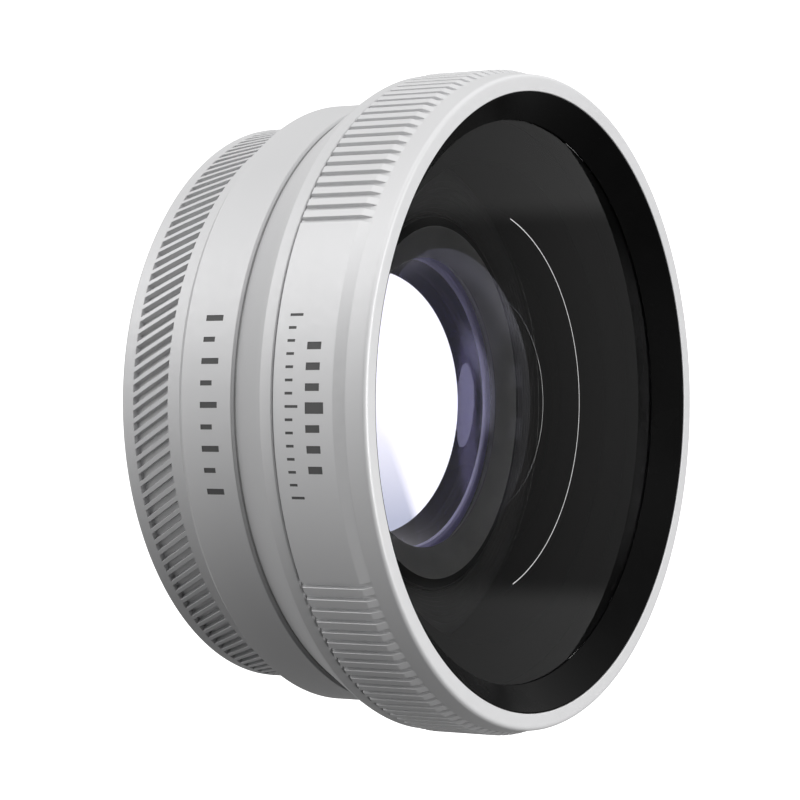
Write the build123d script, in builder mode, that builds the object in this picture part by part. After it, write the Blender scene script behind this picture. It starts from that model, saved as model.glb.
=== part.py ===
"""Two-unit conversion lens: a rear close-up unit that screws onto a camera lens and a front
wide-angle unit that screws onto the close-up unit.

Frame: millimetres, +Z is the optical axis pointing at the subject. The origin is on the axis,
in the plane of the rear shoulder that seats against the camera lens. The mounting thread lies
below it (Z from -4 to 0) and the front rim is at Z = 29. The smooth label windows face -Y.
"""

import os
from math import cos, pi, radians, sin, sqrt, tan

from build123d import *

os.makedirs("parts", exist_ok=True)

# ---------------------------------------------------------------- driving dimensions
# mounting thread (M37, drawn as its major cylinder)
thread_r = 18.5
thread_len = 4.0
thread_chamfer = 0.4
rear_open_r = 15.1
pitch = 0.75  # of the joint between the two units

# rear (close-up) unit, outside
grip_r = 26.81
grip_len = 7.40
label_r = 28.69
label_chamfer_r, label_chamfer_z = 0.77, 0.82  # at the rear edge of the label band
macro_top = 13.80

# diagonal slots on the rear grip band
slot_count = 144
slot_z0, slot_z1 = 1.45, 5.28
slot_width = 0.68
slot_depth = 0.55
slot_shift = 0.0831 * grip_r  # how far round a slot moves from its rear to its front end

# rear unit, inside
macro_clear_r = 18.0
macro_lens_r = 19.5
macro_seat_z = 4.75
macro_front_edge = 6.6  # contact circle of the retaining ring, on the glass
macro_thread_r = 21.6
macro_ring_top = 9.4  # shoulder with the spanner notches
throat_r0, throat_z0 = 17.0, 9.35  # conical throat of the retaining ring, over the glass
throat_r1, throat_z1 = 19.55, 13.25
joint_floor = 10.4  # bottom of the threaded socket for the wide unit
joint_r = 24.5
joint_gap = 0.10  # radial clearance of the joint thread

# slip washer in the parting joint
washer_in, washer_out = 24.75, 28.15
washer_z0, washer_z1 = 13.82, 13.94

# wide unit, outside
wide_bottom = 13.96
cone_r0, cone_r1 = 28.145, 30.72
cone_z1 = 17.75
flange_r = 31.0
flange_z0, flange_z1 = 18.35, 19.56
neck_r = 29.35
neck_top = 24.0

# wide unit, inside
spigot_z0 = 10.9
lip_r = 21.0
lip_z0, lip_z1 = 12.6, 13.1
flare_r = 23.4
baffle_bore = 24.0
seat_z = 17.77
lens_bore = 26.85

# front lens
lens_r = 26.75
s1_radius = 600.0
s1_vertex = 27.083
lens_land_r = 26.45  # where the retaining ring touches the front surface
lens_land_z = 26.5
s2_radius = 39.4
s2_vertex = 25.2
s2_edge_r = 22.6

# macro lens
m_radius = 105.0
m_front_vertex = 8.243
m_rear_vertex = 3.195

# front grip ring
ring_z0, ring_z1 = 19.58, 29.0
base_r = 30.78  # floor of the grooves and the smooth band in front of the ribs
rib_r = 31.18
rib_end, rib_ramp = 26.02, 27.05
rim_out, rim_in = 30.25, 29.0
groove_width = 0.52
groove_pitch = 2.368  # degrees
groove_count = 51  # in each of the two grip fields
window_half = 30.8  # half angle of each smooth label window, degrees


def sag(radius, r):
    """Drop of a sphere of the given radius at distance r from its vertex."""
    return radius - sqrt(radius * radius - r * r)


# ---------------------------------------------------------------- rear (close-up) unit
with BuildPart(mode=Mode.PRIVATE) as slot_tool:
    with BuildSketch(Plane((grip_r + 0.4, 0, 0), x_dir=(0, 1, 0), z_dir=(1, 0, 0))):
        with BuildLine():
            Polyline(
                (slot_shift / 2 - slot_width / 2, slot_z0),
                (slot_shift / 2 + slot_width / 2, slot_z0),
                (-slot_shift / 2 + slot_width / 2, slot_z1),
                (-slot_shift / 2 - slot_width / 2, slot_z1),
                close=True,
            )
        make_face()
    extrude(amount=-(slot_depth + 0.4))

with BuildPart() as macro_barrel:
    with BuildSketch(Plane.XZ):
        with BuildLine():
            Polyline(
                (rear_open_r, -thread_len),
                (thread_r - thread_chamfer, -thread_len),
                (thread_r, -thread_len + thread_chamfer),
                (thread_r, 0),
                (grip_r - 0.30, 0),
                (grip_r, 0.30),
                (grip_r, grip_len - 0.06),
                (grip_r - 0.05, grip_len),
                (label_r - label_chamfer_r, grip_len),
                (label_r, grip_len + label_chamfer_z),
                (label_r, macro_top - 0.20),
                (label_r - 0.20, macro_top),
                (joint_r + joint_gap + 0.3, macro_top),
                (joint_r + joint_gap, macro_top - 0.3),
                (joint_r + joint_gap, joint_floor),
                (macro_thread_r + 0.25, joint_floor),
                (macro_thread_r, joint_floor - 0.25),
                (macro_thread_r, macro_front_edge - 0.1),
                (macro_lens_r + 0.05, macro_front_edge - 0.1),
                (macro_lens_r + 0.05, macro_seat_z),
                (macro_clear_r, macro_seat_z),
                (macro_clear_r - 0.5, macro_seat_z - 0.5),
                close=True,
            )
        make_face()
    revolve(axis=Axis.Z)
    with PolarLocations(0, slot_count):
        add(slot_tool.part, mode=Mode.SUBTRACT)
macro_barrel.part.label = "macro_barrel"
export_step(macro_barrel.part, "parts/macro_barrel.step")

with BuildPart() as macro_lens:
    edge_f = m_front_vertex - sag(m_radius, macro_lens_r)
    edge_r = m_rear_vertex + sag(m_radius, macro_lens_r)
    with BuildSketch(Plane.XZ):
        with BuildLine():
            ThreePointArc(
                (0, m_front_vertex),
                (macro_lens_r / 2, m_front_vertex - sag(m_radius, macro_lens_r / 2)),
                (macro_lens_r, edge_f),
            )
            Line((macro_lens_r, edge_f), (macro_lens_r, edge_r))
            ThreePointArc(
                (macro_lens_r, edge_r),
                (macro_lens_r / 2, m_rear_vertex + sag(m_radius, macro_lens_r / 2)),
                (0, m_rear_vertex),
            )
            Line((0, m_rear_vertex), (0, m_front_vertex))
        make_face()
    revolve(axis=Axis.Z)
macro_lens.part.label = "macro_lens"
export_step(macro_lens.part, "parts/macro_lens.step")

with BuildPart() as macro_retaining_ring:
    with BuildSketch(Plane.XZ):
        with BuildLine():
            Polyline(
                (18.5, macro_front_edge),
                (19.6, macro_front_edge),
                (19.6, macro_front_edge + 0.02),
                (macro_thread_r - 0.05, macro_front_edge + 0.02),
                (macro_thread_r - 0.05, macro_ring_top - 0.2),
                (macro_thread_r - 0.25, macro_ring_top),
                (lip_r - 0.2, macro_ring_top),
                (lip_r - 0.2, throat_z1 - 0.1),
                (lip_r - 0.3, throat_z1),
                (throat_r1, throat_z1),
                (throat_r0, throat_z0),
                (throat_r0, throat_z0 - 0.2),
                (18.5, macro_front_edge + 0.5),
                close=True,
            )
        make_face()
    revolve(axis=Axis.Z)
    # two notches for a pin spanner
    with PolarLocations(macro_thread_r, 2, start_angle=90):
        with Locations((0, 0, macro_ring_top)):
            Box(1.5, 1.4, 1.8, mode=Mode.SUBTRACT)
macro_retaining_ring.part.label = "macro_retaining_ring"
export_step(macro_retaining_ring.part, "parts/macro_retaining_ring.step")

# ---------------------------------------------------------------- between the units
with BuildPart() as slip_washer:
    with BuildSketch(Plane.XY.offset(washer_z0)):
        Circle(washer_out)
        Circle(washer_in, mode=Mode.SUBTRACT)
    extrude(amount=washer_z1 - washer_z0)
slip_washer.part.label = "slip_washer"
export_step(slip_washer.part, "parts/slip_washer.step")

# ---------------------------------------------------------------- front (wide-angle) unit
with BuildPart() as wide_barrel:
    with BuildSketch(Plane.XZ):
        with BuildLine():
            Polyline(
                (flare_r, spigot_z0),
                (joint_r - 0.3, spigot_z0),
                (joint_r, spigot_z0 + 0.3),
                (joint_r, wide_bottom),
                (cone_r0, wide_bottom),
                (cone_r1, cone_z1),
                (flange_r - 0.06, flange_z0 - 0.15),
                (flange_r, flange_z0),
                (flange_r, flange_z1 - 0.08),
                (flange_r - 0.08, flange_z1),
                (neck_r, flange_z1),
                (neck_r, neck_top),
                (lens_bore, neck_top),
                (lens_bore, seat_z),
                (baffle_bore, seat_z),
                (baffle_bore, lip_z1),
                (lip_r, lip_z1),
                (lip_r, lip_z0),
                close=True,
            )
        make_face()
    revolve(axis=Axis.Z)
wide_barrel.part.label = "wide_barrel"
export_step(wide_barrel.part, "parts/wide_barrel.step")

# ridged sleeve: a tapered bore of sharp steps that keeps side light off the rear glass
with BuildPart() as glare_baffle:
    ridges = 7
    z_lo, z_hi = lip_z1, seat_z
    r_lo, r_hi = 21.15, 22.45
    step = (z_hi - z_lo) / ridges
    outline = [(baffle_bore - 0.03, z_hi), (baffle_bore - 0.03, z_lo)]
    for i in range(ridges):
        r_crest = r_lo + (r_hi - r_lo) * i / (ridges - 1)
        z = z_lo + i * step
        outline += [(r_crest, z), (r_crest, z + 0.12), (r_crest + 0.42, z + step - 0.04)]
    outline[-1] = (r_hi + 0.2, z_hi)
    with BuildSketch(Plane.XZ):
        with BuildLine():
            Polyline(*outline, close=True)
        make_face()
    revolve(axis=Axis.Z)
glare_baffle.part.label = "glare_baffle"
export_step(glare_baffle.part, "parts/glare_baffle.step")

with BuildPart() as front_lens_gasket:
    with BuildSketch(Plane.XY.offset(seat_z)):
        Circle(lens_r - 0.1)
        Circle(s2_edge_r + 0.3, mode=Mode.SUBTRACT)
    extrude(amount=s2_vertex - sag(s2_radius, s2_edge_r) - seat_z)
front_lens_gasket.part.label = "front_lens_gasket"
export_step(front_lens_gasket.part, "parts/front_lens_gasket.step")

with BuildPart() as front_lens:
    back_z = s2_vertex - sag(s2_radius, s2_edge_r)
    with BuildSketch(Plane.XZ):
        with BuildLine():
            ThreePointArc(
                (0, s1_vertex),
                (lens_land_r / 2, s1_vertex - sag(s1_radius, lens_land_r / 2)),
                (lens_land_r, s1_vertex - sag(s1_radius, lens_land_r)),
            )
            Polyline(
                (lens_land_r, s1_vertex - sag(s1_radius, lens_land_r)),
                (lens_r, lens_land_z - 0.3),
                (lens_r, back_z),
                (s2_edge_r, back_z),
            )
            ThreePointArc(
                (s2_edge_r, back_z),
                (s2_edge_r / 2, s2_vertex - sag(s2_radius, s2_edge_r / 2)),
                (0, s2_vertex),
            )
            Line((0, s2_vertex), (0, s1_vertex))
        make_face()
    revolve(axis=Axis.Z)
front_lens.part.label = "front_lens"
export_step(front_lens.part, "parts/front_lens.step")

with BuildPart() as front_retaining_ring:
    with BuildSketch(Plane.XZ):
        with BuildLine():
            Polyline(
                (lens_land_r, lens_land_z + 0.02),
                (lens_bore + 0.05, lens_land_z + 0.02),
                (lens_bore + 0.05, neck_top + 0.3),
                (rim_in - 0.25, neck_top + 0.3),
                (rim_in - 0.05, neck_top + 0.5),
                (rim_in - 0.05, ring_z1 - 0.08),
                (rim_in - 0.15, ring_z1 - 0.08),
                (lens_land_r, lens_land_z + 0.14),
                close=True,
            )
        make_face()
    revolve(axis=Axis.Z)
front_retaining_ring.part.label = "front_retaining_ring"
export_step(front_retaining_ring.part, "parts/front_retaining_ring.step")

with BuildPart() as front_grip_ring:
    with BuildSketch(Plane.XZ):
        with BuildLine():
            Polyline(
                (base_r - 0.12, ring_z0),
                (base_r - 0.04, ring_z0 + 0.06),
                (rib_r, ring_z0 + 0.55),
                (rib_r, rib_end),
                (base_r, rib_ramp),
                (rim_out + 0.34, ring_z1 - 0.30),
                (rim_out + 0.20, ring_z1 - 0.08),
                (rim_out, ring_z1),
                (rim_in + 0.05, ring_z1),
                (rim_in, ring_z1 - 0.05),
                (rim_in, neck_top),
                (neck_r + 0.05, neck_top),
                (neck_r + 0.05, ring_z0),
                close=True,
            )
        make_face()
    revolve(axis=Axis.Z)
    # straight grooves leave raised ribs in two fields, either side of the -Y and +Y windows
    field = groove_pitch * (groove_count - 1)
    for start in (-90 + window_half, 90 + window_half):
        with PolarLocations(
            0, groove_count, start_angle=start, angular_range=field, endpoint=True
        ):
            with Locations((base_r + 0.5, 0, (ring_z0 + rib_ramp) / 2)):
                Box(1.0, groove_width, rib_ramp - ring_z0 + 0.4, mode=Mode.SUBTRACT)
front_grip_ring.part.label = "front_grip_ring"
export_step(front_grip_ring.part, "parts/front_grip_ring.step")
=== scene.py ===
import math

import bpy
import numpy as np
from mathutils import Matrix, Vector


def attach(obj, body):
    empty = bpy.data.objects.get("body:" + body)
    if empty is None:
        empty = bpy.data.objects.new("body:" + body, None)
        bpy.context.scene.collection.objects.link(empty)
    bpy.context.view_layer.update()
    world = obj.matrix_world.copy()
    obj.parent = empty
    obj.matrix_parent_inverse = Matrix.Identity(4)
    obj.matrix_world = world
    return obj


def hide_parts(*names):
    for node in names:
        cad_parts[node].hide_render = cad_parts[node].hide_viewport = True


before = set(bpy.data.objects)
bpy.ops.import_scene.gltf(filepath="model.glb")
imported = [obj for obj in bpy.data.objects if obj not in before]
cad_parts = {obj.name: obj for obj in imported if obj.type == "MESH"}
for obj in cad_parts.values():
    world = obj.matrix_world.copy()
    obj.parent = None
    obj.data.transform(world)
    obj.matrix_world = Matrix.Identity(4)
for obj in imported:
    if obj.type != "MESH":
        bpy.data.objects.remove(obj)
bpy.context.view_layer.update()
MM = 0.001

# ------------------------------------------------------------------ mesh building, in millimetres


class Build:
    """Collects rings of points about the Z axis and the faces between them, then welds them into one closed mesh."""

    def __init__(self):
        self.points, self.faces, self.mats, self.count = [], [], [], 0

    def grid(self, r, z, ang):
        """Points of a table of rows and columns. Returns their numbers."""
        r, z, ang = np.broadcast_arrays(r, z, ang)
        self.points.append(
            np.stack([r * np.cos(ang), r * np.sin(ang), z], -1).reshape(-1, 3)
        )
        ids = self.count + np.arange(r.size).reshape(r.shape)
        self.count += r.size
        return ids

    def quads(self, a, b, c, d, mat):
        quad = np.stack([a, b, c, d], -1).reshape(-1, 4)
        self.faces.append(quad)
        self.mats.append(np.broadcast_to(mat, a.shape).reshape(-1))

    def skin(self, ids, mat=0):
        """Faces over a table whose columns go all the way round. mat is one number, one for each row, or a table."""
        a, b = ids[:-1], ids[1:]
        an, bn = np.roll(a, -1, 1), np.roll(b, -1, 1)
        mat = np.asarray(mat)
        if mat.ndim == 1:
            mat = mat[:, None]
        self.quads(a, an, bn, b, mat)

    def zip(self, a, ang_a, b, ang_b, mat=0):
        """Triangles between two rings with different numbers of points, both in turning order."""
        na, nb = len(a), len(b)
        ta = np.append(ang_a, ang_a[0] + 2 * np.pi)
        tb = np.append(ang_b, ang_b[0] + 2 * np.pi)
        # start b at its point nearest to a's first
        s = int(np.argmin(np.abs((ang_b - ang_a[0] + np.pi) % (2 * np.pi) - np.pi)))
        order = (np.arange(nb + 1) + s) % nb
        turns = (np.arange(nb + 1) + s) // nb
        tb = ang_b[order] + 2 * np.pi * turns
        tb += 2 * np.pi * np.round((ta[0] - tb[0]) / (2 * np.pi))
        i = j = 0
        out = []
        while i < na or j < nb:
            if j == nb or (i < na and ta[i + 1] <= tb[j + 1]):
                out.append((a[i], a[(i + 1) % na], b[order[j]], b[order[j]]))
                i += 1
            else:
                out.append((a[i % na], b[order[j + 1]], b[order[j]], b[order[j]]))
                j += 1
        self.faces.append(np.array(out))
        self.mats.append(np.full(len(out), mat))

    def fan(self, ring, z, mat=0, up=True):
        """A cap of triangles from a ring to a point on the axis."""
        tip = self.grid(np.array([0.0]), np.array([z]), np.array([0.0]))[0]
        nxt = np.roll(ring, -1)
        tips = np.full(len(ring), tip)
        if up:
            self.quads(ring, nxt, tips, tips, mat)
        else:
            self.quads(nxt, ring, tips, tips, mat)

    def object(self, name, materials, sharp=32):
        co = np.concatenate(self.points)
        key = np.round(co * 2e4).astype(np.int64)
        _, first, back = np.unique(key, axis=0, return_index=True, return_inverse=True)
        back = back.reshape(-1)
        co = co[first]
        quads = back[np.concatenate(self.faces)]
        mats = np.concatenate(self.mats)
        faces, kept = [], []
        for q, m in zip(quads.tolist(), mats.tolist()):
            f = [v for i, v in enumerate(q) if v != q[i - 1]]
            if len(set(f)) == len(f) and len(f) > 2:
                faces.append(f)
                kept.append(m)
        mesh = bpy.data.meshes.new(name)
        mesh.from_pydata((co * MM).tolist(), [], faces)
        mesh.polygons.foreach_set("material_index", kept)
        mesh.polygons.foreach_set("use_smooth", [True] * len(faces))
        for m in materials:
            mesh.materials.append(m)
        mesh.update()
        mesh.set_sharp_from_angle(angle=math.radians(sharp))
        o = bpy.data.objects.new(name, mesh)
        bpy.context.scene.collection.objects.link(o)
        return o


def outline(corners, hold=0.06):
    """Corners (r, z, fillet, material) of an outline, material being that of the run that starts there, to points
    with each corner rounded and each run held straight by a point near each of its ends. Returns points and the
    material of each run. The first and last corners stay as they are."""
    pts, mats = [], []
    n = len(corners)
    trimmed = []
    for i, (r, z, f, m) in enumerate(corners):
        p = np.array([r, z], float)
        if f and 0 < i < n - 1:
            a = np.array(corners[i - 1][:2], float) - p
            b = np.array(corners[i + 1][:2], float) - p
            la, lb = np.hypot(*a), np.hypot(*b)
            a, b = a / la, b / lb
            turn = math.pi - math.acos(max(-1, min(1, float(a @ b))))
            t = min(f * math.tan(turn / 2), 0.45 * la, 0.45 * lb)
            steps = max(2, int(math.ceil(math.degrees(turn) / 18)))
            rad = t / math.tan(turn / 2)
            c = p + (a + b) / np.hypot(*(a + b)) * math.hypot(t, rad)
            s0, s1 = p + a * t - c, p + b * t - c
            w = math.acos(max(-1, min(1, float(s0 @ s1) / rad**2)))
            arc = [
                c
                + (math.sin((1 - k / steps) * w) * s0 + math.sin(k / steps * w) * s1)
                / math.sin(w)
                for k in range(steps + 1)
            ]
            trimmed.append((arc, m))
        else:
            trimmed.append(([p], m))
    for i, (arc, m) in enumerate(trimmed):
        before = trimmed[i - 1][1] if i else m
        for k, p in enumerate(arc):
            if pts:
                mats.append(before if k == 0 else m)
            pts.append(p)
        if i < n - 1:
            q = trimmed[i + 1][0][0]
            run = q - arc[-1]
            length = np.hypot(*run)
            if length > 4 * hold:
                for s in (hold / length, 1 - hold / length):
                    mats.append(m)
                    pts.append(arc[-1] + run * s)
    return np.array(pts), np.array(mats)


def round_columns(n, extra=()):
    return np.array(
        sorted(set(np.round(np.arange(n) * 2 * np.pi / n, 9)) | set(extra))
    )


def lathe(name, corners, materials, columns=288, sharp=32, hold=0.06):
    """A turned ring from a closed outline, counterclockwise with r to the right and z up."""
    pts, mats = outline(corners + [corners[0]], hold)
    ang = round_columns(columns)
    b = Build()
    ids = b.grid(pts[:, :1], pts[:, 1:], ang[None])
    b.skin(ids, mats)
    return b.object(name, materials, sharp)


def arc_points(radius, vertex, r0, r1, n, sign=1):
    """Points of a lens surface between two distances from the axis. sign 1 drops away from its vertex, -1 rises."""
    r = np.linspace(r0, r1, n)
    return np.stack([r, vertex - sign * (radius - np.sqrt(radius**2 - r**2))], -1)


# ------------------------------------------------------------------ screw threads

PITCH = 0.75
TURN = 2 * np.pi


def helix_rows(b, ang, z_lo, z_hi, phases, radii, limit, inner=False, mat=0):
    """A screw thread between two heights. phases and radii are its outline over one pitch, limit(z) is the largest
    radius at a height (the smallest, for an inner thread). Its first and last rows are plain rings at z_lo and z_hi."""
    m = len(phases)
    n0, n1 = math.floor(z_lo / PITCH) - 2, math.ceil(z_hi / PITCH) + 1
    steps = np.array([n + p for n in range(n0, n1) for p in phases])
    z = PITCH * (steps[:, None] + ang[None] / TURN)
    z = np.clip(z, z_lo, z_hi)
    r = np.tile(np.array(radii, float), n1 - n0)[:, None] + 0 * z
    edge = limit(z)
    r = np.maximum(r, edge) if inner else np.minimum(r, edge)
    ids = b.grid(r, z, ang[None] + 0 * z)
    a, c = ids[:-1, :-1], ids[1:, :-1]
    an, cn = ids[:-1, 1:], ids[1:, 1:]
    seam = np.arange(len(steps) - m - 1)
    parts = [
        (a, an, cn, c),
        (ids[seam, -1], ids[seam + m, 0], ids[seam + 1 + m, 0], ids[seam + 1, -1]),
    ]
    for p, q, s, t in parts:
        if inner:  # faces the axis
            b.quads(q, p, t, s, mat)
        else:
            b.quads(p, q, s, t, mat)


def ramp(z, *pairs):
    zs, rs = zip(*pairs)
    return np.interp(z, zs, rs)


MALE = ((0.0, 0.125, 0.4375, 0.6875), (0, 0, -0.46, -0.46))
FEMALE = ((-0.0625, 0.1875, 0.5, 0.625), (0, 0, -0.46, -0.46))


# ------------------------------------------------------------------ materials


def material(name, base, metallic=0.0, rough=0.5, spec=0.5):
    m = bpy.data.materials.new(name)
    m.use_nodes = True
    p = m.node_tree.nodes["Principled BSDF"]
    p.inputs["Base Color"].default_value = (*base, 1)
    p.inputs["Metallic"].default_value = metallic
    p.inputs["Roughness"].default_value = rough
    p.inputs["Specular IOR Level"].default_value = spec
    return m, m.node_tree, p


def node(nt, kind, **values):
    n = nt.nodes.new(kind)
    for k, v in values.items():
        if k in n.inputs:
            n.inputs[k].default_value = v
        else:
            setattr(n, k, v)
    return n


def noise(nt, vector, scale, detail=2.0, rough=0.5):
    n = node(nt, "ShaderNodeTexNoise", Scale=scale, Detail=detail, Roughness=rough)
    nt.links.new(vector, n.inputs["Vector"])
    return n.outputs["Fac"]


def span(nt, value, lo, hi, a=0.0, b=1.0):
    n = nt.nodes.new("ShaderNodeMapRange")
    for k, v in zip(("From Min", "From Max", "To Min", "To Max"), (a, b, lo, hi)):
        n.inputs[k].default_value = v
    nt.links.new(value, n.inputs["Value"])
    return n.outputs["Result"]


def bump(nt, p, *layers):
    """Layers (height, strength, distance in metres) stacked into the shader's normal."""
    last = None
    for height, strength, distance in layers:
        n = node(nt, "ShaderNodeBump", Strength=strength, Distance=distance)
        nt.links.new(height, n.inputs["Height"])
        if last is not None:
            nt.links.new(last, n.inputs["Normal"])
        last = n.outputs["Normal"]
    nt.links.new(last, p.inputs["Normal"])


def blend(nt, p, fac, low, high, socket="Base Color"):
    n = nt.nodes.new("ShaderNodeMix")
    n.data_type = "RGBA"
    # the colour sockets of a Mix node share their names with the float ones
    n.inputs[6].default_value = (*low, 1)
    n.inputs[7].default_value = (*high, 1)
    nt.links.new(fac, n.inputs[0])
    nt.links.new(n.outputs[2], p.inputs[socket])
    return n


def satin_silver(name, tone=0.70, metallic=0.45, rough=0.42):
    """Fine-blasted, clear-anodised aluminium: a fine even grain, faint turning lines and slight cloudiness."""
    m, nt, p = material(name, (tone, tone, tone * 1.01), metallic, rough)
    place = node(nt, "ShaderNodeTexCoord").outputs["Object"]
    cloud = noise(nt, place, 90, 3)
    grain = noise(nt, place, 5200, 2, 0.6)
    fleck = noise(nt, place, 1700, 3, 0.6)
    split = nt.nodes.new("ShaderNodeSeparateXYZ")
    nt.links.new(place, split.inputs[0])
    # turning lines follow the height and the distance from the axis only
    radius = node(nt, "ShaderNodeVectorMath", operation="LENGTH")
    flat = nt.nodes.new("ShaderNodeCombineXYZ")
    nt.links.new(split.outputs["X"], flat.inputs["X"])
    nt.links.new(split.outputs["Y"], flat.inputs["Y"])
    nt.links.new(flat.outputs[0], radius.inputs[0])
    rings = nt.nodes.new("ShaderNodeCombineXYZ")
    nt.links.new(radius.outputs["Value"], rings.inputs["X"])
    nt.links.new(split.outputs["Z"], rings.inputs["Z"])
    turning = noise(nt, rings.outputs[0], 7000, 1, 0.5)
    mixed = node(nt, "ShaderNodeMath", operation="ADD")
    nt.links.new(span(nt, cloud, 0.0, 0.6), mixed.inputs[0])
    nt.links.new(span(nt, fleck, 0.0, 0.4), mixed.inputs[1])
    blend(
        nt,
        p,
        mixed.outputs[0],
        (tone * 0.965, tone * 0.965, tone * 0.975),
        (tone * 1.035, tone * 1.035, tone * 1.045),
    )
    nt.links.new(span(nt, fleck, rough - 0.05, rough + 0.05, 0.3, 0.7), p.inputs["Roughness"])
    bump(nt, p, (turning, 0.10, 0.000006), (grain, 0.16, 0.000010))
    return m


def black_anodised(name, tone=0.012, rough=0.30, grain_strength=0.12, spec=0.5, tint=(1, 1, 1)):
    m, nt, p = material(name, tuple(tone * t for t in tint), 0.0, rough, spec)
    place = node(nt, "ShaderNodeTexCoord").outputs["Object"]
    grain = noise(nt, place, 4200, 2)
    cloud = noise(nt, place, 260, 3)
    blend(nt, p, cloud, tuple(tone * 0.8 * t for t in tint), tuple(tone * 1.22 * t for t in tint))
    nt.links.new(span(nt, cloud, rough - 0.04, rough + 0.06, 0.3, 0.7), p.inputs["Roughness"])
    bump(nt, p, (grain, grain_strength, 0.000008))
    return m


def glass(name, tint=(1, 1, 1), spec=0.5, spec_tint=(1, 1, 1), rough=0.0):
    m, nt, p = material(name, tint, 0.0, rough, spec)
    p.inputs["Transmission Weight"].default_value = 1.0
    p.inputs["IOR"].default_value = 1.52
    p.inputs["Specular Tint"].default_value = (*spec_tint, 1)
    return m


silver_rear = satin_silver("satin_aluminium_rear")
silver_front = satin_silver("satin_aluminium_front")
silver_grip = satin_silver("satin_aluminium_grip", tone=0.72)
inside_black = black_anodised("blackened_bore", 0.010, 0.55, 0.2)
ring_black = black_anodised("black_anodised_ring", 0.020, 0.45, 0.15)
throat_grey = black_anodised("grey_anodised_throat", 0.17, 0.45, 0.02, 0.3)
land_black = black_anodised("matt_black_land", 0.003, 0.7, 0.1, 0.05)
bore_wall = black_anodised("polished_black_bore", 0.004, 0.10, 0.0, 0.10)
# the lip and seat of the bore are bare metal; their violet tint and brightness are painted: a painted violet reflection
# of the lens coating, and painted light where little light reaches inside
lip_painted_violet = black_anodised("bare_lip_painted_violet_reflection", 0.62, 0.35, 0.02, 0.6, (0.95, 0.93, 1.3))
seat_painted_violet = black_anodised("bare_seat_painted_violet_reflection", 0.82, 0.4, 0.02, 0.6, (0.95, 0.93, 1.3))
gloss_black = black_anodised("gloss_black_ring", 0.003, 0.24, 0.04, 0.05)
matt_black = black_anodised("matt_black_baffle", 0.014, 0.62, 0.25)
rubber = black_anodised("black_rubber_seat", 0.012, 0.7, 0.3)
nylon = black_anodised("grey_nylon_washer", 0.42, 0.5, 0.1)
edge_paint = black_anodised("blackened_glass_edge", 0.004, 0.5, 0.1, 0.05)
mark_paint = black_anodised("grey_mark_paint", 0.10, 0.5, 0.2)
clear_glass = glass("clear_front_glass", (0.985, 0.99, 0.985))
rear_coat = glass("violet_coated_concave", (0.985, 0.985, 0.99), 0.5, (0.62, 0.60, 1.0))
macro_coat = glass("violet_coated_closeup", (0.86, 0.84, 1.0), 0.5, (0.55, 0.50, 1.0))
# the ground bevel glows: its emission is painted light, a painted highlight that makes the thin bright crescent seen
# through the glass
bevel_painted_glow, nt, p = material("ground_glass_bevel_painted_glow", (0.85, 0.86, 0.87), 0.0, 0.6)
place = node(nt, "ShaderNodeTexCoord").outputs["Object"]
frost = noise(nt, place, 3000, 2)
blend(nt, p, frost, (0.80, 0.81, 0.82), (0.90, 0.91, 0.92))
p.inputs["Emission Color"].default_value = (1, 1, 1, 1)
p.inputs["Emission Strength"].default_value = 0.8
bump(nt, p, (frost, 0.15, 0.000006))


# ------------------------------------------------------------------ rear unit


def deg(x):
    return np.radians(x)


def tick_columns(ticks, radius, wall=0.02):
    """Column angles for a list of ticks (angle in degrees, width in mm, z0, z1)."""
    out = []
    for a, w, _, _ in ticks:
        for s in (-1, 1):
            for e in (w / 2 + wall, w / 2):
                out.append(deg(a) + s * e / radius)
    return [x % TURN for x in out]


def tick_depth(ang, z, ticks, radius, depth, wall=0.02):
    """Table of how far each point is sunk, for recessed marks."""
    sunk = np.zeros(np.broadcast_shapes(ang.shape, z.shape))
    for a, w, z0, z1 in ticks:
        off = ((ang - deg(a) + np.pi) % TURN - np.pi) * radius
        inside = (np.abs(off) < w / 2 + wall / 2) & (z > z0 - 1e-6) & (z < z1 + 1e-6)
        sunk = np.where(inside, depth, sunk)
    return sunk


GRIP_R, SLOTS, SLOT_DEPTH = 26.81, 144, 0.55
S_Z0, S_Z1, SHEAR = 1.45, 5.28, 0.0831

# plain index ticks in the smooth window of the label band
rear_ticks = [
    (-90 + 0.45 + 3.9 * k, 0.42 if k % 2 else 0.5, 10.30, 12.10 if k % 2 == 0 else 11.5)
    for k in range(-4, 5)
]

b = Build()
# slotted band: one column pattern for each slot, leaning with the slots
cols = np.array([-0.38, -0.34, -0.30, 0.0, 0.30, 0.34, 0.38, 0.50, 0.67])
kind = np.array([0, 1, 2, 2, 2, 1, 0, 0, 0])
centre = np.arange(SLOTS) * TURN / SLOTS
fine = (centre[:, None] + cols[None] / GRIP_R).ravel()
fine_kind = np.tile(kind, SLOTS)
rows = [  # radius, height, kind of row, hold 0 for no slot
    (26.20, 0.0, 0), (26.44, 0.0, 0), (26.50, 0.005, 0), (26.56, 0.05, 0), (26.76, 0.25, 0), (26.805, 0.31, 0),
    (26.81, 0.38, 0), (26.81, 0.9, 0), (26.81, S_Z0 - 0.10, 0), (26.81, S_Z0 - 0.04, 0), (26.81, S_Z0, 1),
    (26.81, S_Z0 + 0.03, 2), (26.81, S_Z0 + 0.12, 2), (26.81, 3.3, 2), (26.81, S_Z1 - 0.12, 2), (26.81, S_Z1 - 0.03, 2),
    (26.81, S_Z1, 1), (26.81, S_Z1 + 0.04, 0), (26.81, S_Z1 + 0.10, 0), (26.81, 6.2, 0), (26.81, 7.24, 0),
    (26.81, 7.32, 0), (26.795, 7.37, 0), (26.76, 7.40, 0), (26.85, 7.40, 0),
]
rr = np.array([x[0] for x in rows])[:, None]
zz = np.array([x[1] for x in rows])[:, None]
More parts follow.
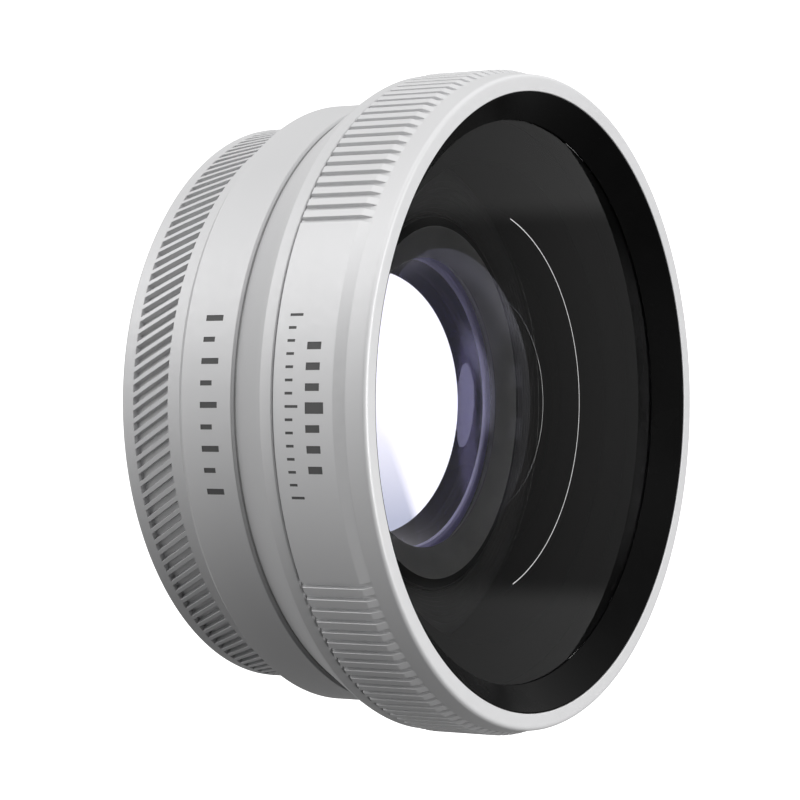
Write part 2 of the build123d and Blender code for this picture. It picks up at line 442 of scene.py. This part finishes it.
kk = np.array([x[2] for x in rows])[:, None]
depth_kind = np.minimum(kk, fine_kind[None])
r = rr - np.choose(depth_kind, [0.0, 0.04, SLOT_DEPTH])
lean = SHEAR * (0.5 - np.clip((zz - S_Z0) / (S_Z1 - S_Z0), 0, 1))
ids_a = b.grid(r, zz, fine[None] + lean)
b.skin(ids_a, 0)

ang = round_columns(288, tick_columns(rear_ticks, 28.69))
upper = [
    (27.10, 7.40, 0, 0), (27.92, 7.40, 0.05, 0), (28.69, 8.22, 0.10, 0), (28.69, 10.20, 0, 0),
]
levels = [10.28, 10.30, 11.50, 11.52, 12.10, 12.12]
after = [
    (28.69, 12.25, 0, 0), (28.69, 13.60, 0.12, 0), (28.49, 13.80, 0.10, 0), (24.9, 13.80, 0.05, 0), (24.6, 13.50, 0, 0),
]
p1, m1 = outline(upper)
p2, m2 = outline(after)
pts = np.concatenate([p1, [[28.69, z] for z in levels], p2])
table_z = pts[:, 1:] + 0 * ang[None]
table_r = pts[:, :1] - tick_depth(ang[None], table_z, rear_ticks, 28.69, 0.05) * (
    (np.abs(pts[:, :1] - 28.69) < 1e-6)
)
ids = b.grid(table_r, table_z, ang[None] + 0 * table_z)
sunk = table_r < pts[:, :1] - 1e-6
nxt = np.roll(sunk, -1, 1)
any_sunk = sunk[:-1] | sunk[1:] | nxt[:-1] | nxt[1:]
b.skin(ids, np.where(any_sunk, 2, 0))
b.zip(ids_a[-1], fine + lean[-1], ids[0], ang, 0)
# joint thread, then the black interior
helix_rows(
    b, ang, 10.4, 13.50, FEMALE[0], [24.6 + x for x in FEMALE[1]],
    lambda z: ramp(z, (10.4, 24.6), (10.75, 24.6), (10.9, 24.0), (13.05, 24.0), (13.3, 24.6), (13.50, 24.6)),
    inner=True, mat=0,
)
# the runs of material 4 and 5, the lip and seat, carry the painted violet reflection
inner = [
    (24.6, 10.4, 0, 1), (21.85, 10.4, 0.05, 1), (21.6, 10.15, 0.05, 1), (21.6, 6.5, 0, 1), (19.55, 6.5, 0, 1),
    (19.55, 4.75, 0, 5), (18.0, 4.75, 0.05, 4), (17.5, 4.25, 0.1, 4), (17.25, 3.4, 0, 3), (15.1, -3.96, 0, 0), (15.14, -4.0, 0, 0),
    (18.0, -4.0, 0, 0),
]
p3, m3 = outline(inner)
ids = b.grid(p3[:, :1], p3[:, 1:], ang[None])
b.skin(ids, m3)
helix_rows(
    b, ang, -4.0, 0.0, MALE[0], [18.5 + x for x in MALE[1]],
    lambda z: ramp(z, (-4.0, 18.0), (-3.5, 18.5), (-0.55, 18.5), (-0.42, 18.0), (0.0, 18.0)), mat=0,
)
p4, m4 = outline([(18.0, 0.0, 0, 0), (25.90, 0.0, 0, 0)])
ids = b.grid(p4[:, :1], p4[:, 1:], ang[None])
b.skin(ids, 0)
b.zip(ids[-1], ang, ids_a[0], fine + lean[0], 0)
macro_barrel = b.object("macro_barrel_turned", [silver_rear, inside_black, mark_paint, bore_wall, lip_painted_violet, seat_painted_violet])
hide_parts("macro_barrel")
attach(macro_barrel, "macro_unit")

# close-up glass
M_R, M_FV, M_RV, M_EDGE = 105.0, 8.243, 3.195, 19.5
b = Build()
ang = round_columns(224)
rear = arc_points(M_R, M_RV, 0.6, M_EDGE - 0.15, 34, -1)
front = arc_points(M_R, M_FV, M_EDGE - 0.15, 0.6, 46)
pts = np.concatenate([rear, [[M_EDGE, rear[-1, 1] + 0.15], [M_EDGE, front[0, 1] - 0.15]], front])
mats = np.array([0] * (len(rear) - 1) + [1, 1, 1] + [0] * (len(front) - 1))
ids = b.grid(pts[:, :1], pts[:, 1:], ang[None])
b.skin(ids, mats)
b.fan(ids[-1], M_FV, 0, up=True)
b.fan(ids[0], M_RV, 0, up=False)
macro_lens = b.object("macro_lens_glass", [macro_coat, edge_paint], 20)
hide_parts("macro_lens")
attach(macro_lens, "macro_unit")

# its retaining ring, with two spanner notches
half = 0.70 / 21.2
ang = round_columns(
    256, [x % TURN for c in (np.pi / 2, 3 * np.pi / 2) for x in (c - half - 0.002, c - half, c + half, c + half + 0.002)]
)
base = [
    (18.5, 6.62, 0, 0), (19.6, 6.62, 0, 0), (21.55, 6.63, 0, 0), (21.55, 8.48, 0, 0), (21.55, 8.50, 0, 0),
    (21.55, 9.20, 0, 0), (21.35, 9.40, 0, 0), (20.88, 9.40, 0, 0), (20.83, 9.40, 0, 0), (20.80, 9.43, 0, 0),
    (20.80, 9.50, 0, 0), (20.80, 13.08, 0, 0), (20.79, 13.16, 0, 0), (20.74, 13.22, 0, 0), (20.66, 13.24, 0, 0),
    (20.58, 13.25, 0, 2), (19.64, 13.25, 0, 1), (19.56, 13.23, 0, 1), (19.51, 13.19, 0, 1), (17.05, 9.43, 0, 1),
    (17.01, 9.36, 0, 0), (17.0, 9.28, 0, 0), (17.0, 9.20, 0, 0), (17.02, 9.12, 0, 0), (18.46, 7.15, 0, 0),
    (18.5, 7.08, 0, 0), (18.5, 6.62, 0, 0),
]
plain = np.array([x[:2] for x in base])
cut = plain.copy()
cut[4:8] = [(21.55, 8.50), (21.5, 8.50), (21.3, 8.50), (20.88, 8.50)]
in_notch = np.zeros(len(ang), bool)
for c in (np.pi / 2, 3 * np.pi / 2):
    in_notch |= np.abs((ang - c + np.pi) % TURN - np.pi) < half + 1e-6
table = np.where(in_notch[None, :, None], cut[:, None, :], plain[:, None, :])
b = Build()
ids = b.grid(table[..., 0], table[..., 1], ang[None] + 0 * table[..., 0])
b.skin(ids, np.array([x[3] for x in base[:-1]]))
macro_ring = b.object("macro_retaining_ring_turned", [ring_black, throat_grey, land_black])
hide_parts("macro_retaining_ring")
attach(macro_ring, "macro_unit")

# ------------------------------------------------------------------ slip washer
washer = lathe(
    "slip_washer_nylon",
    [(24.75, 13.82, 0, 0), (28.38, 13.82, 0.03, 0), (28.38, 13.94, 0.03, 0), (24.75, 13.94, 0.03, 0)],
    [nylon], 288, 32, 0.02,
)
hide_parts("slip_washer")
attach(washer, "washer")

# ------------------------------------------------------------------ wide unit
b = Build()
ang = round_columns(320)
p1, m1 = outline([
    (24.0, 13.96, 0, 0), (28.40, 13.96, 0.04, 0), (30.72, 17.75, 0.5, 0),
    (30.94, 18.20, 0.12, 0), (31.0, 18.35, 0.12, 0), (31.0, 19.48, 0.06, 0), (30.92, 19.56, 0.05, 0), (29.35, 19.56, 0.05, 0),
    (29.35, 24.0, 0.05, 1), (26.85, 24.0, 0.05, 1), (26.85, 17.77, 0, 1), (24.0, 17.77, 0, 1), (24.0, 13.1, 0, 1),
    (21.0, 13.1, 0.04, 1), (21.0, 12.6, 0.06, 1), (23.4, 10.9, 0.04, 0), (24.0, 10.9, 0, 0),
])
ids = b.grid(p1[:, :1], p1[:, 1:], ang[None])
b.skin(ids, m1)
helix_rows(
    b, ang, 10.9, 13.96, MALE[0], [24.5 + x for x in MALE[1]],
    lambda z: ramp(z, (10.9, 24.0), (11.35, 24.5), (13.62, 24.5), (13.74, 24.0), (13.96, 24.0)), mat=0,
)
wide_barrel = b.object("wide_barrel_turned", [silver_front, inside_black])
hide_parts("wide_barrel")
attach(wide_barrel, "wide_unit")

# ridged sleeve
ridges, z_lo, z_hi, r_lo, r_hi = 7, 13.1, 17.77, 21.15, 22.45
step = (z_hi - z_lo) / ridges
saw = []
for i in range(ridges):
    crest = r_lo + (r_hi - r_lo) * i / (ridges - 1)
    z = z_lo + i * step
    saw += [(crest, z, 0, 0), (crest, z + 0.12, 0.02, 0), (crest + 0.42, z + step - 0.04, 0.02, 0)]
saw[-1] = (r_hi + 0.2, z_hi, 0, 0)
saw[0] = (r_lo, z_lo, 0, 0)
baffle = lathe(
    "glare_baffle_ridged",
    [(23.97, z_lo, 0.05, 0), (23.97, z_hi, 0.05, 0)] + saw[::-1],
    [matt_black], 256, 32, 0.04,
)
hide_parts("glare_baffle")
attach(baffle, "wide_unit")

# front glass: flat front, deep concave back, ground bevel glowing on the far side as a painted highlight, blackened
# edge and seat
S1_R, S1_V, S2_R, S2_V, S2_E = 600.0, 27.083, 39.4, 25.2, 22.6
back_z = S2_V - (S2_R - math.sqrt(S2_R**2 - S2_E**2))
gasket = lathe(
    "front_lens_gasket_rubber",
    [(22.9, 17.77, 0, 0), (26.65, 17.77, 0.05, 0), (26.65, back_z - 0.003, 0.05, 0), (22.9, back_z - 0.003, 0.08, 0)],
    [rubber],
)
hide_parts("front_lens_gasket")
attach(gasket, "wide_unit")

b = Build()
ang = round_columns(256)
front = arc_points(S1_R, S1_V, 26.45, 0.8, 30)
back = arc_points(S2_R, S2_V, 0.8, S2_E, 64)
up = np.concatenate([
    [[22.75, back_z], [26.60, back_z], [26.72, back_z + 0.12], [26.75, back_z + 0.3], [26.75, 26.20], [26.54, 26.41]],
    front,
])
up_m = [1, 1, 1, 1, 1, 2] + [0] * (len(front) - 1)
ids_up = b.grid(up[:, :1], up[:, 1:], ang[None])
# the edge is blackened over the bevel except on the far side, where the glowing bevel is left as a painted highlight
up_m = np.array(up_m)[:, None] + np.zeros((1, len(ang)), int)
up_m[5, np.cos(ang - np.pi / 2) < math.cos(deg(70))] = 1
b.skin(ids_up, up_m)
b.fan(ids_up[-1], S1_V, 0, up=True)
ids_dn = b.grid(back[:, :1], back[:, 1:], ang[None])
b.skin(ids_dn, 3)
b.fan(ids_dn[0], S2_V, 3, up=False)
rim = b.grid(np.array([[S2_E], [22.75]]), np.array([[back_z], [back_z]]), ang[None])
b.skin(rim, 1)
front_lens = b.object("front_lens_glass", [clear_glass, edge_paint, bevel_painted_glow, rear_coat], 20)
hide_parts("front_lens")
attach(front_lens, "wide_unit")

keeper = lathe(
    "front_retaining_ring_turned",
    [
        (26.45, 26.52, 0, 0), (26.9, 26.52, 0, 0), (26.9, 24.3, 0, 0), (28.75, 24.3, 0.05, 0), (28.95, 24.5, 0.05, 0),
        (28.95, 28.92, 0.03, 0), (28.85, 28.92, 0.05, 0), (26.45, 26.66, 0.03, 0),
    ],
    [gloss_black], 320,
)
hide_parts("front_retaining_ring")
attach(keeper, "wide_unit")

# front grip ring
RIB, BASE, G_PITCH, G_COUNT = 31.17, 30.78, 2.368, 51
front_ticks = [
    (-90 + 0.65 + 2.1 * k, 0.20, 21.10, 22.40 if k % 7 == 0 else 21.85) for k in range(-7, 8)
] + [(-90 + 0.9 + 3.3 * k, 0.62 if k else 0.95, 23.20, 25.05 if k == 0 else 24.6) for k in range(-3, 4)]
cols = np.array([-0.30, -0.26, -0.22, 0.0, 0.22, 0.26, 0.30, 0.48, 0.81])
kind = np.array([0, 1, 2, 2, 2, 1, 0, 0, 0])
fine, fine_kind = [], []
for start in (-59.2, 120.8):
    c = deg(start + G_PITCH * np.arange(G_COUNT))
    field = (c[:, None] + cols[None] / RIB).ravel()
    what = np.tile(kind, G_COUNT)
    fine += list(field[:-2])  # the last groove needs no land of its own
    fine_kind += list(what[:-2])
for lo, hi in ((59.2, 120.8), (239.2, 300.8)):
    plain = np.linspace(lo + 1.2, hi - 1.2, 56)
    fine += list(deg(plain))
    fine_kind += [0] * len(plain)
for x in tick_columns(front_ticks, RIB):
    fine.append(x)
    fine_kind.append(0)
fine, fine_kind = np.array(fine) % TURN, np.array(fine_kind)
order = np.argsort(fine)
fine, fine_kind = fine[order], fine_kind[order]
keep = np.append(True, np.diff(fine) > 1e-5)
fine, fine_kind = fine[keep], fine_kind[keep]
rows = [
    (30.20, 19.58), (30.58, 19.58), (30.66, 19.58), (30.71, 19.59), (30.74, 19.605), (30.78, 19.63), (30.82, 19.655),
    (31.12, 19.83), (31.153, 19.86), (31.17, 19.90), (31.17, 20.00), (31.17, 20.9),
    (31.17, 21.08), (31.17, 21.10), (31.17, 21.85), (31.17, 21.87), (31.17, 22.40), (31.17, 22.42), (31.17, 23.18),
    (31.17, 23.20), (31.17, 24.60), (31.17, 24.62), (31.17, 25.05), (31.17, 25.07), (31.17, 25.93), (31.166, 26.00),
    (31.148, 26.08), (31.115, 26.17), (30.845, 26.87), (30.80, 26.97), (30.78, 27.05), (30.772, 27.12), (30.765, 27.22),
    (30.62, 28.45), (30.60, 28.60), (30.585, 28.70), (30.56, 28.76), (30.48, 28.88), (30.42, 28.93), (30.34, 28.97),
    (30.25, 28.99), (30.15, 29.0), (30.05, 29.0),
]
rr = np.array([x[0] for x in rows])[:, None]
zz = np.array([x[1] for x in rows])[:, None]
floor_r = np.minimum(rr, BASE)
edge_r = np.maximum(floor_r, rr - 0.04)
r = np.choose(fine_kind[None] + 0 * rr.astype(int), [rr + 0 * fine, edge_r + 0 * fine, floor_r + 0 * fine])
marks = tick_depth(fine[None], zz + 0 * fine, front_ticks, RIB, 0.05) * (np.abs(rr - RIB) < 1e-6)
r = r - marks
b = Build()
ids_a = b.grid(r, zz, fine[None] + 0 * r)
sunk = marks > 0
nxt = np.roll(sunk, -1, 1)
any_sunk = sunk[:-1] | sunk[1:] | nxt[:-1] | nxt[1:]
b.skin(ids_a, np.where(any_sunk, 1, 0))
ang = round_columns(320)
p1, m1 = outline([
    (29.90, 29.0, 0, 0), (29.05, 29.0, 0.04, 0), (29.0, 28.95, 0.03, 0), (29.0, 24.0, 0, 0), (29.4, 24.0, 0, 0),
    (29.4, 19.58, 0.04, 0), (30.0, 19.58, 0, 0),
])
ids = b.grid(p1[:, :1], p1[:, 1:], ang[None])
b.skin(ids, m1)
b.zip(ids_a[-1], fine, ids[0], ang, 0)
b.zip(ids[-1], ang, ids_a[0], fine, 0)
grip = b.object("front_grip_ring_turned", [silver_grip, mark_paint])
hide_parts("front_grip_ring")
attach(grip, "wide_unit")

# ------------------------------------------------------------------ stage

paper = bpy.data.materials.new("backlit_paper")
paper.use_nodes = True
pn = paper.node_tree
pn.nodes.remove(pn.nodes["Principled BSDF"])
glow = node(pn, "ShaderNodeEmission", Color=(1, 1, 1, 1), Strength=1.5)
pn.links.new(glow.outputs[0], pn.nodes["Material Output"].inputs["Surface"])
paper.cycles.emission_sampling = "NONE"


def pmath(op, a, b):
    n = node(pn, "ShaderNodeMath", operation=op)
    for i, v in enumerate((a, b)):
        if isinstance(v, (int, float)):
            n.inputs[i].default_value = v
        else:
            pn.links.new(v, n.inputs[i])
    return n.outputs[0]


# the lens throws a soft shade on the paper inside its own bore
on_paper = pn.nodes.new("ShaderNodeSeparateXYZ")
pn.links.new(node(pn, "ShaderNodeTexCoord").outputs["Object"], on_paper.inputs[0])
px, py = on_paper.outputs["X"], on_paper.outputs["Y"]
side = span(pn, pmath("SUBTRACT", pmath("MULTIPLY", px, 0.55), py), 0.0, 1.0, 0.0004, 0.0022)
far = pmath("SQRT", pmath("ADD", pmath("MULTIPLY", px, px), pmath("MULTIPLY", py, py)), 0.0)
inside = span(pn, far, 1.0, 0.0, 0.0152, 0.0160)
shaded = pmath("MULTIPLY", pmath("MULTIPLY", side, span(pn, px, 0.0, 1.0, 0.0, 0.014)), inside)
blend(pn, glow, shaded, (1, 1, 1), (0.46, 0.49, 0.56), "Color")

# the sheet that the lens stands on, and the curved backdrop round it
shape = [(0.05, 0), (0.3, 0), (0.8, 0), (1.1, 0.02), (1.35, 0.10), (1.5, 0.28), (1.55, 0.55), (1.5, 1.0), (1.2, 1.5), (0.7, 1.8), (0.2, 1.9)]
ang = round_columns(96)
for name, part in (("studio_sheet", shape[:3]), ("studio_cove", shape[2:])):
    b = Build()
    pts = np.array([(r * 1000, z * 1000 - 4.03) for r, z in part])
    ids = b.grid(pts[:, :1], pts[:, 1:], ang[None])
    b.skin(ids, 0)
    if name == "studio_sheet":
        b.fan(ids[0], -4.03, 0, up=False)
    else:
        b.fan(ids[-1], 1900.0, 0, up=True)
    o = b.object(name, [paper], 180)
    o.data.flip_normals()
    o.visible_diffuse = o.visible_glossy = o.visible_shadow = o.visible_volume_scatter = False
    o.visible_transmission = name == "studio_sheet"

# ------------------------------------------------------------------ light

world = bpy.data.worlds.new("studio")
bpy.context.scene.world = world
world.use_nodes = True
wn = world.node_tree
bg = wn.nodes["Background"]
way = node(wn, "ShaderNodeTexCoord").outputs["Generated"]
split = wn.nodes.new("ShaderNodeSeparateXYZ")
wn.links.new(way, split.inputs[0])


def wmath(op, a, b=None, clamp=False):
    n = node(wn, "ShaderNodeMath", operation=op, use_clamp=clamp)
    for i, v in enumerate((a, b)):
        if v is None:
            continue
        if isinstance(v, (int, float)):
            n.inputs[i].default_value = v
        else:
            wn.links.new(v, n.inputs[i])
    return n.outputs[0]


def wramp(fac, stops):
    n = node(wn, "ShaderNodeValToRGB")
    el = n.color_ramp.elements
    el[0].position, el[0].color = stops[0][0], (stops[0][1],) * 3 + (1,)
    el[1].position, el[1].color = stops[-1][0], (stops[-1][1],) * 3 + (1,)
    for pos, v in stops[1:-1]:
        e = el.new(pos)
        e.color = (v, v, v, 1)
    wn.links.new(fac, n.inputs[0])
    return n.outputs[0]


def wstep(value, lo, hi, a=0.0, b=1.0):
    n = wn.nodes.new("ShaderNodeMapRange")
    n.interpolation_type = "SMOOTHSTEP"
    for k, v in zip(("From Min", "From Max", "To Min", "To Max"), (lo, hi, a, b)):
        n.inputs[k].default_value = v
    wn.links.new(value, n.inputs["Value"])
    return n.outputs["Result"]


X, Y, Z = (split.outputs[k] for k in "XYZ")
# turn about the axis, degrees from the camera's side toward +X, as a number from 0 to 1
turn = wmath("MULTIPLY_ADD", wmath("ARCTAN2", X, wmath("MULTIPLY", Y, -1.0)), 1 / TURN)
turn.node.inputs[2].default_value = 0.5


def by_turn(*stops):
    """A ramp over the turn in degrees, values up to 4."""
    return wramp(turn, [((a + 180) / 360, v / 4) for a, v in stops])


# a large soft light left and in front, dark room to the right
around = by_turn(
    (-180, 0.5), (-150, 0.82), (-125, 1.0), (-95, 1.0), (-70, 1.32), (-48, 1.95), (-30, 1.75), (-10, 1.05), (10, 0.75),
    (30, 0.47), (50, 0.33), (70, 0.19), (95, 0.14), (120, 0.20), (150, 0.30), (180, 0.5),
)
# it is darker above the level of the table on the camera's side and the right
room = by_turn(
    (-180, 0.0), (-75, 0.0), (-50, 0.5), (-35, 2.2), (-15, 3.7), (10, 4.0), (120, 3.5), (150, 1.4), (180, 0.0),
)
shade = wmath("MULTIPLY", wstep(Z, -0.42, -0.10), room)
around = wmath("MULTIPLY", wmath("MULTIPLY", around, wmath("SUBTRACT", 1.0, shade)), 3.84)
poles = wramp(
    wmath("ADD", wmath("MULTIPLY", X, 0.5), 0.5), [(0.0, 0.90), (0.22, 0.88), (0.5, 0.44), (0.76, 0.24), (1.0, 0.20)]
)
pole = wstep(wmath("MULTIPLY", Z, -1.0), 0.72, 0.93)
base = wmath(
    "ADD", wmath("MULTIPLY", around, wmath("SUBTRACT", 1.0, pole)), wmath("MULTIPLY", poles, pole)
)
# the large light ends above, so that the rounding of the rim stays soft
base = wmath("MULTIPLY", base, wstep(Z, 0.38, 0.62, 1.0, 0.45))
# a flag on the far side keeps the front glass dark, a light above it brightens the rim
flag = node(wn, "ShaderNodeVectorMath", operation="DOT_PRODUCT")
wn.links.new(way, flag.inputs[0])
flag.inputs[1].default_value = (0.0, 0.88, 0.47)
base = wmath("MULTIPLY", base, wstep(flag.outputs["Value"], 0.86, 0.95, 1.0, 0.34))
back = wmath("MULTIPLY", wstep(Z, 0.79, 0.85), wstep(Z, 0.885, 0.915, 1.0, 0.0))
back = wmath("MULTIPLY", back, wmath("MULTIPLY", wstep(Y, 0.15, 0.45), wstep(X, 0.08, 0.26, 1.0, 0.0)))
total = wmath("ADD", base, wmath("MULTIPLY", back, 2.0))
# two pale strips far behind show low in the flat front of the glass
aside = wmath("ABSOLUTE", X)
strip = wmath("MULTIPLY", wstep(aside, 0.085, 0.10), wstep(aside, 0.20, 0.24, 1.0, 0.0))
strip = wmath("MULTIPLY", strip, wmath("MULTIPLY", wstep(Y, 0.5, 0.6), wstep(Z, 0.38, 0.43)))
strip = wmath("MULTIPLY", strip, wstep(Z, 0.60, 0.66, 1.0, 0.0))
total = wmath("ADD", total, wmath("MULTIPLY", strip, 0.2))
# dim light high on the camera's side keeps the small edge roundings from going black
high = wmath("MULTIPLY", wstep(Z, 0.55, 0.78), wstep(Y, -0.28, -0.06, 1.0, 0.0))
total = wmath("ADD", total, wmath("MULTIPLY", high, 0.28))
wn.links.new(total, bg.inputs["Color"])
bg.inputs["Strength"].default_value = 1.0


def softbox(name, place, target, width, height, radiance, shape="RECTANGLE", colour=(1, 1, 1)):
    light = bpy.data.lights.new(name, "AREA")
    light.shape = shape
    light.size, light.size_y = width, height
    area = width * height * (math.pi / 4 if shape in ("DISK", "ELLIPSE") else 1)
    light.energy = radiance * area * math.pi
    light.color = colour
    o = bpy.data.objects.new(name, light)
    o.location = place
    o.rotation_mode = "QUATERNION"
    o.rotation_quaternion = (Vector(target) - Vector(place)).to_track_quat("-Z", "Y")
    o.visible_camera = False
    bpy.context.scene.collection.objects.link(o)
    return o


# a small light over the far edge shows in the hollow of the glass, a broad one only fills
softbox("overhead", (0.009, 0.101, 0.458), (0, 0, 0.02), 0.27, 0.095, 3.4, "ELLIPSE")
fill = softbox("fill", (0.0, -0.03, 0.45), (0, 0, 0.02), 0.30, 0.30, 10.5, "DISK")
fill.visible_glossy = fill.visible_transmission = False

# ------------------------------------------------------------------ camera

cam_data = bpy.data.cameras.new("camera")
cam_data.lens, cam_data.sensor_width, cam_data.sensor_fit = 134.95, 36.0, "HORIZONTAL"
cam_data.shift_y = 0.003
cam_data.clip_start, cam_data.clip_end = 0.01, 20
cam = bpy.data.objects.new("camera", cam_data)
bpy.context.scene.collection.objects.link(cam)
right, above, behind = Vector((0, 0.53393, 0.84553)), Vector((-1, 0, 0)), Vector((0, -0.84553, 0.53393))
turn = Matrix((right, above, behind)).transposed()
cam.matrix_world = Matrix.Translation((0, -0.244059, 0.167269)) @ turn.to_4x4()
bpy.context.scene.camera = cam
bpy.context.scene.view_settings.view_transform = "Standard"
bpy.context.scene.view_settings.look = "None"
